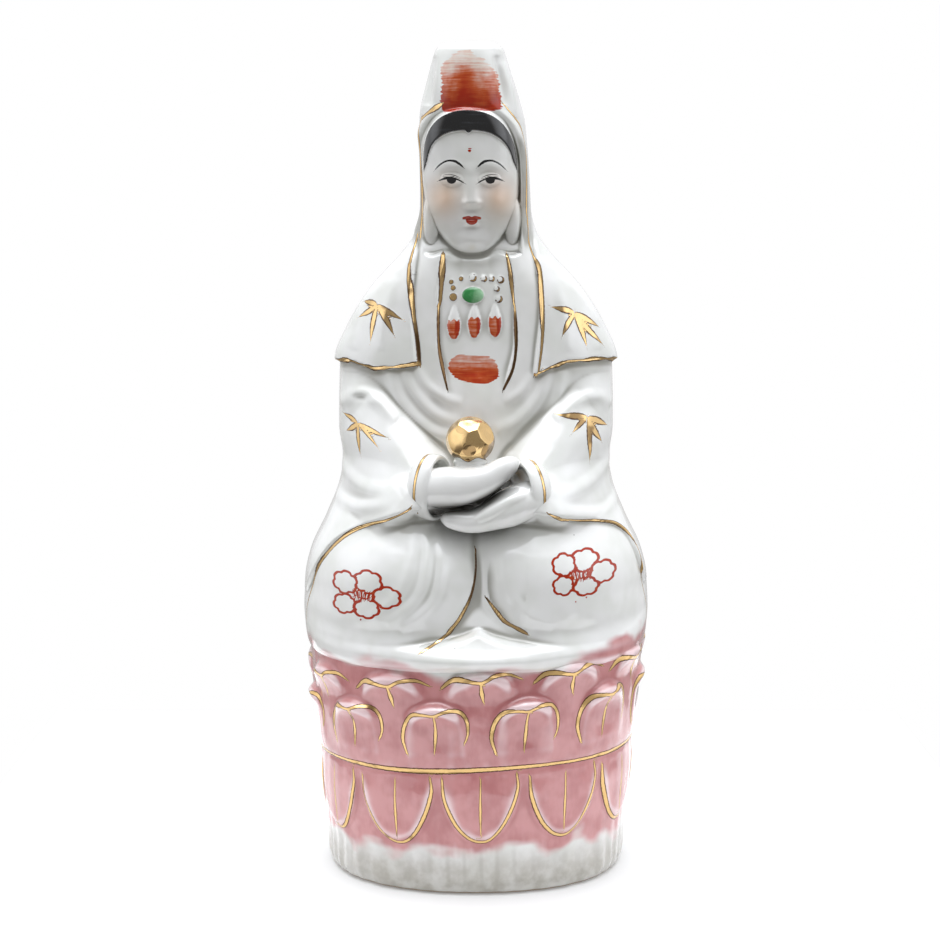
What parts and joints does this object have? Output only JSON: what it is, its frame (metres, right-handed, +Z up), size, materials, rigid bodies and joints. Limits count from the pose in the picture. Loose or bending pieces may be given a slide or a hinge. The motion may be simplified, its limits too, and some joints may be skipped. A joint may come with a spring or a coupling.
{
  "type": "porcelain figure",
  "caption": "Glazed porcelain seated Guanyin on a lotus throne, hands folded round a jewel, painted in iron red, pink, black and gilt.",
  "frame": {"origin": "under the middle of the flat foot of the throne, on the plane it stands on", "axes": "+Z up to the crown, -Y towards the viewer whom the figure faces, +X to the viewer's right"},
  "size_m": [0.1266, 0.114, 0.3],
  "materials": {
    "glazed_porcelain": "cool white glossy glaze with overglaze painting in iron red, pink, black and bright gilt"
  },
  "bodies": {
    "root": {"guanyin_figure": "glazed_porcelain"}
  },
  "joints": []
}
